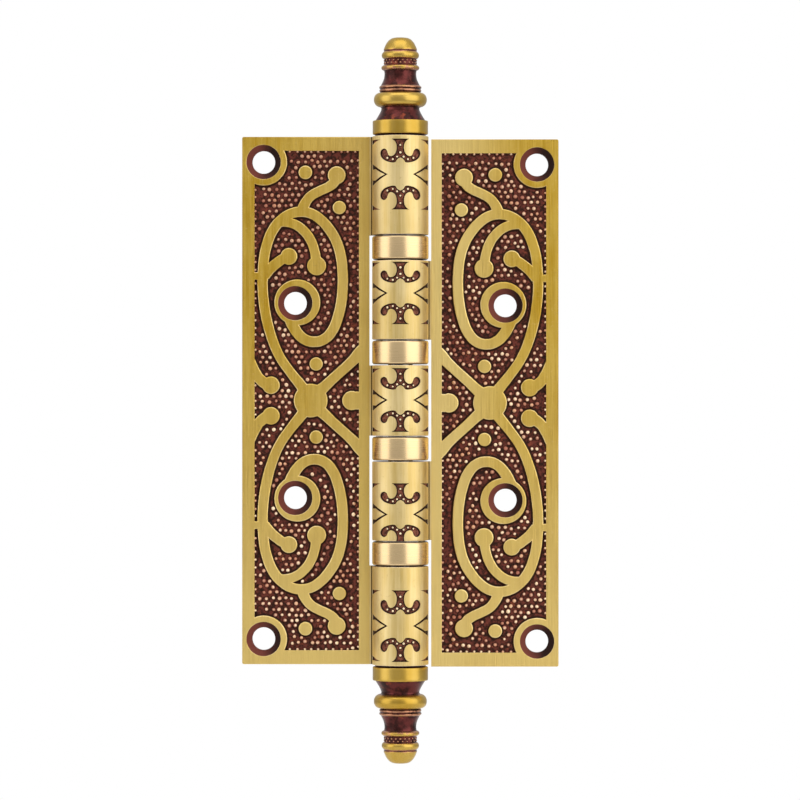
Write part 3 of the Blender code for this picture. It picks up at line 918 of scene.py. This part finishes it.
def build_groups():
    """The shared effects: brush strokes, mottled brass, and patina with painted reddish glints."""
    number, colour, vector = "NodeSocketFloat", "NodeSocketColor", ("Vector", "NodeSocketVector", None)

    tree, given, out = new_group("Brush Strokes", [vector], [("Fine", number), ("Broad", number)])
    fine = noise(tree, scaled(tree, given["Vector"], (3600, 3600, 110)), 1.0, 3.0, 0.6)
    broad = noise(tree, scaled(tree, given["Vector"], (620, 620, 26)), 1.0, 2.0, 0.5)
    feed(tree, out, {"Fine": ramp(tree, fine, 0.25, 0.75), "Broad": ramp(tree, broad, 0.25, 0.75)})

    tree, given, out = new_group(
        "Mottled Brass",
        [
            vector, ("Fine", number, 0.5), ("Broad", number, 0.5), ("Streaks", number, 0.5),
            ("Brass", colour, (0.6, 0.4, 0.1, 1)), ("Pale", colour, (0.8, 0.6, 0.3, 1)),
        ],
        [("Color", colour)],
    )
    cloud = noise(tree, given["Vector"], 55.0, 3.0, 0.55)
    fleck = noise(tree, given["Vector"], 900.0, 2.0, 0.6)
    streak = calc(tree, "ADD", product(tree, given["Fine"], 0.45), product(tree, given["Broad"], 0.55))
    clouding = product(tree, ramp(tree, cloud, 0.3, 0.7), 0.55)
    share = calc(tree, "ADD", clouding, product(tree, streak, given["Streaks"]))
    toned = mix(tree, ramp(tree, share, 0.1, 1.0, smooth_step=False), given["Brass"], given["Pale"])
    feed(tree, out, {"Color": mix(tree, ramp(tree, fleck, 0.62, 0.8, 0.0, 0.28), toned, FLECK)})

    tree, given, out = new_group(
        "Oxblood", [vector, ("Patina", colour, (0.13, 0.03, 0.02, 1)), ("Dark", colour, (0.02, 0.01, 0.01, 1))],
        [("Color", colour), ("Height", number)],
    )
    blotch = noise(tree, given["Vector"], 950.0, 3.0, 0.6)
    # Painted highlights: reddish glints scattered over the patina.
    glint = noise(tree, given["Vector"], 1100.0, 2.0, 0.6)
    red = mix(tree, ramp(tree, blotch, 0.38, 0.62), given["Dark"], given["Patina"])
    warm = mix(tree, ramp(tree, glint, 0.58, 0.75, 0.0, 0.55), red, PAINTED_RED_GLINT)
    feed(tree, out, {"Color": warm, "Height": glint})


def new_material(name):
    """A material with its Principled shader and the object's coordinates."""
    material = bpy.data.materials.new(name)
    material.use_nodes = True
    tree = material.node_tree
    shader = next(node for node in tree.nodes if node.type == "BSDF_PRINCIPLED")
    return material, tree, shader, tree.nodes.new("ShaderNodeTexCoord").outputs["Object"]


def brushed_brass(tree, place, dull, pale, streaks, fine=None):
    """Mottled brass with brush strokes along the hinge, and the fine strokes. A value can stand for these."""
    strokes = use_group(tree, "Brush Strokes", {"Vector": place})
    fine = fine or strokes["Fine"]
    values = {"Vector": place, "Fine": fine, "Broad": strokes["Broad"], "Brass": dull, "Pale": pale}
    return use_group(tree, "Mottled Brass", {**values, "Streaks": streaks})["Color"], fine


def oxblood(tree, place, patina, dark):
    """Patina's colour, with painted reddish glints, and its height."""
    return use_group(tree, "Oxblood", {"Vector": place, "Patina": patina, "Dark": dark})


def hole_mask(tree, across, up, which):
    """1 inside a countersink and 0 outside, and how far across from its middle a point is."""
    place_across, place_up = SCREW_HOLES[which]
    dx = calc(tree, "SUBTRACT", across, place_across * MM)
    dz = calc(tree, "SUBTRACT", up, place_up * MM)
    within = calc(tree, "LESS_THAN", radius_of(tree, dx, dz), (COUNTERSINK_RADIUS + 0.2) * MM)
    return within, product(tree, within, dx)


def plate_material(tag, finish, depth, drop):
    """Brushed brass on the face, paler near the barrel as painted light; patina in the panel and the screw
    holes, with painted shade on the panel's walls and painted light and shade in the countersinks.
    """
    material, tree, shader, place = new_material(f"leaf_brass_{tag}")
    xyz = axes(tree, place)
    side = 1 if tag == "right" else -1
    brass, fine = brushed_brass(tree, place, rgba(finish.brass), LEAF_PALE, 0.9)
    across = calc(tree, "ABSOLUTE", xyz["X"])
    # Painted light: paler near the barrel, much more on the right leaf than on the left. Also paler towards the
    # bottom.
    lit_near_barrel = ramp(tree, across, 10.0 * MM, 38.0 * MM, 0.95 if side > 0 else 0.4, 0.0)
    lower_end = ramp(tree, xyz["Z"], 30.0 * MM, -75.0 * MM, 0.0, 0.7)
    brass = mix(tree, calc(tree, "MAXIMUM", lit_near_barrel, lower_end), brass, rgba(finish.pale_brass))
    ox = oxblood(tree, place, rgba(finish.patina), rgba(finish.dark_patina_and_shade))

    ragged = product(tree, noise(tree, place, 1400.0, 2.0), 0.1 * MM)
    sunk = calc(tree, "ADD", xyz["Y"], ragged)
    low = ramp(tree, sunk, FACE_Y + 0.16 * MM, FACE_Y + 0.25 * MM)
    # Pale rim on the scroll shoulders: partly rubbed wear, partly a painted highlight.
    rubbed_and_highlit = product(
        tree, ramp(tree, sunk, FACE_Y + 0.05 * MM, FACE_Y + 0.13 * MM),
        ramp(tree, noise(tree, place, 260.0, 2.0), 0.35, 0.65, 0.05, 0.5),
    )
    up = calc(tree, "ABSOLUTE", calc(tree, "ADD", xyz["Z"], drop))
    nearest, farthest, highest = (limit * MM for limit in PATINA_LIMITS)
    inside = product(
        tree,
        calc(tree, "GREATER_THAN", across, nearest), calc(tree, "LESS_THAN", across, farthest),
        calc(tree, "LESS_THAN", up, highest), calc(tree, "LESS_THAN", xyz["Y"], BACK_Y - 0.05 * MM),
    )
    patina = product(tree, low, inside)
    # Painted shade: the walls of the sunk ground are darkened.
    wall = ramp(tree, xyz["Y"], FACE_Y + depth - 0.08 * MM, FACE_Y + depth - 0.01 * MM, 1.0, 0.0)
    ground = mix(tree, wall, ox["Color"], rgba(finish.dark_patina_and_shade))

    # Painted light and shade in the countersinks: red and lit on the side facing the key light on the right,
    # near black on the other, with a wandering edge.
    corner, corner_tilt = hole_mask(tree, across, up, 0)
    lower, lower_tilt = hole_mask(tree, across, up, 1)
    tilt = product(tree, calc(tree, "ADD", corner_tilt, lower_tilt), side)
    wander = ramp(tree, noise(tree, place, 160.0, 2.0), 0.3, 0.7, -1.2 * MM, 1.2 * MM)
    shade = ramp(tree, calc(tree, "ADD", tilt, wander), -3.0 * MM, 3.5 * MM)
    dark = mix(tree, calc(tree, "ADD", corner, lower), ground, mix(tree, shade, SINK_LIT, SINK_SHADED))

    bare = mix(tree, product(tree, rubbed_and_highlit, inside), brass, RUBBED_RIM_AND_HIGHLIGHT)
    rough = ramp(tree, fine, 0.0, 1.0, 0.36, 0.48, smooth_step=False)
    metallic, roughness = mix_value(tree, patina, 0.95, 0.12), mix_value(tree, patina, rough, 0.5)
    surface(tree, shader, mix(tree, patina, bare, dark), metallic, roughness)
    bump(tree, shader, mix_value(tree, patina, fine, ox["Height"]), 0.07 * MM, 0.45)
    return material


def pip_material(finish, depth):
    """Pips: patina, darkened at the foot as painted shade, and a bright tip that is partly brass laid bare and
    partly a painted highlight.
    """
    material, tree, shader, place = new_material("stipple_brass")
    xyz = axes(tree, place)
    ox = oxblood(tree, place, rgba(finish.patina), rgba(finish.dark_patina_and_shade))
    # The bright tip is partly bare brass and partly a painted highlight.
    rubbed_and_highlit = ramp(tree, noise(tree, place, 330.0, 1.0), 0.3, 0.7, 0.5 * MM, 0.16 * MM, smooth_step=False)
    rise = calc(tree, "SUBTRACT", FACE_Y + depth, xyz["Y"])
    worn = ramp(tree, calc(tree, "SUBTRACT", rise, rubbed_and_highlit), -0.04 * MM, 0.26 * MM)
    coppery = ramp(tree, noise(tree, place, 210.0, 1.0), 0.4, 0.66)
    # Tips are duller higher up and towards the left.
    higher = ramp(tree, xyz["Z"], -10.0 * MM, 50.0 * MM)
    leftmost = ramp(tree, xyz["X"], -5.0 * MM, 5.0 * MM, 0.7, 0.3)
    tone = mix(tree, coppery, rgba(finish.worn_tip_and_highlight), COPPER_TIP)
    tone = mix(tree, product(tree, higher, leftmost), tone, DULL_TIP)
    # Painted shade: a dark ring round each pip's foot. The flank lightens upwards, partly the pip's own colour
    # and partly a painted highlight.
    foot = ramp(tree, rise, 0.03 * MM, 0.12 * MM)
    flank = mix(tree, ramp(tree, rise, 0.08 * MM, 0.4 * MM), ox["Color"], FLANK)
    dull = mix(tree, foot, rgba(finish.dark_patina_and_shade), flank)
    metallic, roughness = mix_value(tree, worn, 0.35, 0.85), mix_value(tree, worn, 0.42, 0.36)
    surface(tree, shader, mix(tree, worn, dull, tone), metallic, roughness)
    bump(tree, shader, ox["Height"], 0.05 * MM, 0.3)
    return material


def barrel_material(finish, depth):
    """Brushed brass on the round and patina in the engraving and the bore; painted shade on the engraving's
    walls, the ends and the gap beside the leaf; a pale line, partly wear and partly painted highlight, along
    the engraving's edges and on the beads.
    """
    material, tree, shader, place = new_material("barrel_brass")
    xyz = axes(tree, place)
    brass, fine = brushed_brass(tree, place, rgba(finish.barrel_brass), BARREL_PALE, 0.85)
    ox = oxblood(tree, place, ENGRAVED_PATINA, ENGRAVED_DARK)
    above = above_barrel(tree, xyz)
    engraved = ramp(tree, above, -0.17 * MM, -0.1 * MM, 1.0, 0.0)
    # Pale band just below the round: partly wear, partly a painted highlight along the engraving's edges and on
    # the beads' tips.
    rubbed_and_highlit = ramp(tree, above, -0.06 * MM, -0.02 * MM, 1.0, 0.0)
    # Painted shade in the gap between the barrel and the leaf.
    gap = product(
        tree, ramp(tree, above, 0.02 * MM, 0.05 * MM), ramp(tree, above, 0.35 * MM, 0.6 * MM, 1.0, 0.0),
        calc(tree, "GREATER_THAN", xyz["Y"], 1.0 * MM),
    )
    patina = calc(tree, "MAXIMUM", engraved, gap)
    # Painted shade: the engraving's walls, the knuckles' ends and the gap are darkened.
    wall = ramp(tree, above, 0.03 * MM - depth, 0.1 * MM - depth)
    dark = mix(tree, wall, ox["Color"], rgba(finish.dark_patina_and_shade))
    bare = mix(tree, rubbed_and_highlit, brass, rgba(finish.worn_tip_and_highlight))
    rough = ramp(tree, fine, 0.0, 1.0, 0.42, 0.54, smooth_step=False)
    metallic, roughness = mix_value(tree, patina, 0.92, 0.08), mix_value(tree, patina, rough, 0.6)
    surface(tree, shader, mix(tree, patina, bare, dark), metallic, roughness)
    bump(tree, shader, fine, 0.04 * MM, 0.3)
    return material


def shell_material(finish):
    """Satin gold, almost plain, with a faint cloudiness, and painted shade in a dark band round its eased
    edges.
    """
    material, tree, shader, place = new_material("satin_gold")
    xyz = axes(tree, place)
    cloud = ramp(tree, noise(tree, place, 90.0, 2.0), 0.3, 0.7, 0.0, 0.4)
    gold = mix(tree, cloud, rgba(finish.satin_gold), SATIN_DULL)
    above = above_barrel(tree, xyz)
    # Painted shade: the eased edges, next to the knuckles, are dark.
    rim = ramp(tree, above, -0.32 * MM, -0.07 * MM, 1.0, 0.0)
    satin = ramp(tree, noise(tree, scaled(tree, place, (60, 60, 4000)), 1.0, 2.0), 0.3, 0.7, 0.27, 0.295)
    colour = mix(tree, rim, gold, rgba(finish.dark_patina_and_shade))
    surface(tree, shader, colour, mix_value(tree, rim, 1.0, 0.0), mix_value(tree, rim, satin, 0.7), 0.1)
    return material


def finial_material():
    """Brass on the worn rings, glossy oxblood in the hollows."""
    material, tree, shader, place = new_material("finial_brass")
    worn = add(tree, "ShaderNodeAttribute", attribute_name="worn", attribute_type="GEOMETRY").outputs["Fac"]
    brass = brushed_brass(tree, place, FINIAL_BRASS, FINIAL_PALE, 0.4, 0.5)[0]
    # The hollows' patina carries painted reddish glints.
    ox = oxblood(tree, scaled(tree, place, (0.35, 0.35, 0.35)), FINIAL_PATINA, FINIAL_DARK)
    ragged = calc(tree, "ADD", worn, ramp(tree, noise(tree, place, 700.0, 2.0), 0.2, 0.8, -0.16, 0.16))
    copper = mix(tree, ramp(tree, ragged, 0.2, 0.5), ox["Color"], FINIAL_COPPER)
    bare = ramp(tree, ragged, 0.55, 0.8)
    metallic, roughness = mix_value(tree, bare, 0.85, 0.95), mix_value(tree, bare, 0.24, 0.3)
    surface(tree, shader, mix(tree, bare, copper, brass), metallic, roughness, 0.2)
    bump(tree, shader, ox["Height"], 0.02 * MM, 0.15)
    return material


def bearing_steel_material(finish):
    """Ground steel with fine turning marks and a trace of oil."""
    material, tree, shader, place = new_material("bearing_steel")
    marks = noise(tree, scaled(tree, place, (500, 500, 9000)), 1.0, 2.0)
    oily = ramp(tree, noise(tree, place, 260.0, 2.0), 0.45, 0.75, 0.0, 0.6)
    roughness = ramp(tree, marks, 0.3, 0.7, 0.18, 0.34)
    surface(tree, shader, mix(tree, oily, rgba(finish.steel), OIL), 1.0, roughness, 0.5)
    bump(tree, shader, marks, 0.01 * MM, 0.2)
    return material


def cage_material(finish):
    """Stamped brass, dull, with dark specks."""
    material, tree, shader, place = new_material("cage_brass")
    specks = noise(tree, place, 800.0, 3.0)
    colour = mix(tree, ramp(tree, specks, 0.5, 0.75), rgba(finish.brass), SPECK)
    surface(tree, shader, colour, 1.0, ramp(tree, specks, 0.3, 0.7, 0.38, 0.5), 0.5)
    bump(tree, shader, specks, 0.02 * MM, 0.2)
    return material


# ---- operators

class HINGE_OT_leaves(bpy.types.Operator):
    """Both leaves' plates, with sunk panels, scrollwork and countersunk holes"""

    bl_idname = "hinge.leaves"
    bl_label = "Leaves"

    def execute(self, context):
        depth = context.scene.hinge_shape.relief_depth
        finish = context.scene.hinge_finish
        right = leaf_plate(depth)
        left = mirrored(right, "plate_left")
        right.data.transform(Matrix.Translation((0, 0, -RIGHT_DROP)))
        for plate, tag, drop in ((right, "right", RIGHT_DROP), (left, "left", 0.0)):
            flats_kept(plate)
            material = plate_material(tag, finish, depth, drop)
            finished(plate, f"leaf_{tag}", "leaf_brass", material, f"leaf_{tag}")
        return {"FINISHED"}


class HINGE_OT_stipple(bpy.types.Operator):
    """The pips that cover the ground between the scrolls"""

    bl_idname = "hinge.stipple"
    bl_label = "Stippled Ground"

    def execute(self, context):
        shape = context.scene.hinge_shape
        depth = shape.relief_depth
        material = pip_material(context.scene.hinge_finish, depth)
        plate = bpy.data.objects["plate_left"]
        left = stipple("pips_left", plate, -1, FACE_Y + depth, shape, shape.seed)
        right = stipple("pips_right", plate, -1, FACE_Y + depth, shape, shape.seed + 1)
        right.data.transform(Matrix.Translation((0, 0, -RIGHT_DROP)) @ TO_OTHER_SIDE)
        right.data.flip_normals()
        finished(right, "leaf_right", "leaf_brass", material, "leaf_right")
        finished(left, "leaf_left", "leaf_brass", material, "leaf_left")
        return {"FINISHED"}


class HINGE_OT_knuckles(bpy.types.Operator):
    """The five engraved knuckles of the barrel"""

    bl_idname = "hinge.knuckles"
    bl_label = "Knuckles"

    def execute(self, context):
        shape = context.scene.hinge_shape
        material = barrel_material(context.scene.hinge_finish, shape.engraving_depth)
        for number, (bottom, top) in enumerate(knuckle_heights(), 1):
            side, body = (-1, "leaf_left") if number % 2 else (1, "leaf_right")
            piece = knuckle(number, bottom, top, side, shape)
            finished(piece, body, "leaf_brass", material, body)
        return {"FINISHED"}


class HINGE_OT_bearing_shells(bpy.types.Operator):
    """The four satin shells between the knuckles"""

    bl_idname = "hinge.bearing_shells"
    bl_label = "Bearing Shells"

    def execute(self, context):
        material = shell_material(context.scene.hinge_finish)
        for number, (low, high) in enumerate(SHELLS, 1):
            body = "leaf_right" if number % 2 else "leaf_left"
            piece = bearing_shell(number, low, high)
            finished(piece, body, "shell_brass", material, f"bearing_shell_{number}")
        return {"FINISHED"}


class HINGE_OT_finials(bpy.types.Operator):
    """The turned finials at the pin's ends"""

    bl_idname = "hinge.finials"
    bl_label = "Finials"

    def execute(self, context):
        material = finial_material()
        finished(finial("top_finial", True), "pin", "finial_brass", material, "finial_top")
        finished(finial("bottom_finial", False), "pin", "finial_brass", material, "finial_bottom")
        return {"FINISHED"}


class HINGE_OT_bearing_metals(bpy.types.Operator):
    """Finishes of the pin, the races, the cages and the balls"""

    bl_idname = "hinge.bearing_metals"
    bl_label = "Pin and Bearings"

    def execute(self, context):
        steel = bearing_steel_material(context.scene.hinge_finish)
        cage = cage_material(context.scene.hinge_finish)
        for name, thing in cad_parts.items():
            if name.startswith(("hinge_pin", "lower_race", "upper_race", "ball_")):
                thing.data.materials.clear()
                thing.data.materials.append(cage if name.startswith("ball_cage") else steel)
        return {"FINISHED"}


class HINGE_OT_stage(bpy.types.Operator):
    """Floor, soft lights, surroundings and camera"""

    bl_idname = "hinge.stage"
    bl_label = "Stage"

    def execute(self, context):
        studio_floor()
        studio_world(context.scene)
        for light in LIGHTS:
            soft_light(*light)
        studio_camera(context.scene)
        return {"FINISHED"}


def studio_floor():
    """A pale disc below the hinge."""
    bpy.ops.object.select_all(action="DESELECT")
    bpy.ops.mesh.primitive_cylinder_add(vertices=128, radius=0.30, depth=0.01, location=(0, 0, -0.155))
    floor = named("floor")
    place_in_mesh(floor)
    material, tree, shader, place = new_material("pale_floor")
    shade = mix(tree, noise(tree, place, 6.0), (0.86, 0.86, 0.86, 1), (0.90, 0.90, 0.895, 1))
    feed(tree, shader, {"Base Color": shade, "Roughness": 0.9})
    floor.data.materials.append(material)


def studio_world(scene):
    """White to the eye, and a soft room with a dim back to the metal."""
    world = bpy.data.worlds.new("studio")
    scene.world = world
    world.use_nodes = True
    tree = world.node_tree
    tree.nodes.clear()
    seen = add(tree, "ShaderNodeBackground", {"Color": (1, 1, 1, 1), "Strength": 1.0})
    direction = tree.nodes.new("ShaderNodeTexCoord").outputs["Generated"]
    xyz = axes(tree, direction)
    front = ramp(tree, xyz["Y"], -1.0, 0.6, 0.52, 0.50, smooth_step=False)
    above = ramp(tree, xyz["Z"], -0.2, 0.9, 0.0, 0.3)
    strength = calc(tree, "ADD", front, above)
    room = add(tree, "ShaderNodeBackground", {"Color": (1.0, 0.985, 0.96, 1), "Strength": strength})
    to_eye = tree.nodes.new("ShaderNodeLightPath").outputs["Is Camera Ray"]
    both = add(tree, "ShaderNodeMixShader", {0: to_eye, 1: room.outputs[0], 2: seen.outputs[0]})
    add(tree, "ShaderNodeOutputWorld", {"Surface": both.outputs[0]})


def soft_light(name, place, size, power, colour):
    """A rectangular light turned towards the hinge."""
    light = bpy.data.lights.new(name, "AREA")
    light.shape = "RECTANGLE"
    light.size, light.size_y = size
    light.energy = power
    light.color = colour
    lamp = linked(name, light)
    lamp.location = place
    lamp.rotation_euler = (-Vector(place)).to_track_quat("-Z", "Y").to_euler()


def studio_camera(scene):
    """Square on to the decorated side, through a long lens."""
    lens = bpy.data.cameras.new("camera")
    lens.lens = 180.0
    lens.sensor_width = 36.0
    lens.clip_start, lens.clip_end = 0.01, 20.0
    camera = linked("camera", lens)
    camera.location = (-0.1 * MM, FACE_Y - CAMERA_DISTANCE, 0.15 * MM)
    camera.rotation_euler = (math.radians(90), 0, 0)
    scene.camera = camera
    scene.view_settings.view_transform = "Standard"
    scene.view_settings.look = "None"


STEPS = (
    "leaves", "stipple", "knuckles", "bearing_shells", "finials", "bearing_metals", "stage",
)


class HINGE_PT_sidebar(bpy.types.Panel):
    """Sizes, colours and building steps of the hinge"""

    bl_idname = "HINGE_PT_sidebar"
    bl_label = "Antique Brass Hinge"
    bl_space_type = "VIEW_3D"
    bl_region_type = "UI"
    bl_category = "Hinge"

    def draw(self, context):
        layout = self.layout
        for settings in (context.scene.hinge_shape, context.scene.hinge_finish):
            box = layout.box()
            for name in settings.bl_rna.properties.keys():
                if name not in ("rna_type", "name"):
                    box.prop(settings, name)
        for step in STEPS:
            layout.operator(f"hinge.{step}")


CLASSES = (
    HINGE_PG_shape, HINGE_PG_finish, HINGE_OT_leaves, HINGE_OT_stipple, HINGE_OT_knuckles,
    HINGE_OT_bearing_shells, HINGE_OT_finials, HINGE_OT_bearing_metals, HINGE_OT_stage, HINGE_PT_sidebar,
)


def register():
    for entry in CLASSES:
        bpy.utils.register_class(entry)
    bpy.types.Scene.hinge_shape = bpy.props.PointerProperty(type=HINGE_PG_shape)
    bpy.types.Scene.hinge_finish = bpy.props.PointerProperty(type=HINGE_PG_finish)


def unregister():
    del bpy.types.Scene.hinge_finish
    del bpy.types.Scene.hinge_shape
    for entry in reversed(CLASSES):
        bpy.utils.unregister_class(entry)


def main():
    """Builds everything."""
    register()
    build_groups()
    for step in STEPS:
        getattr(bpy.ops.hinge, step)()


if __name__ == "__main__":
    main()
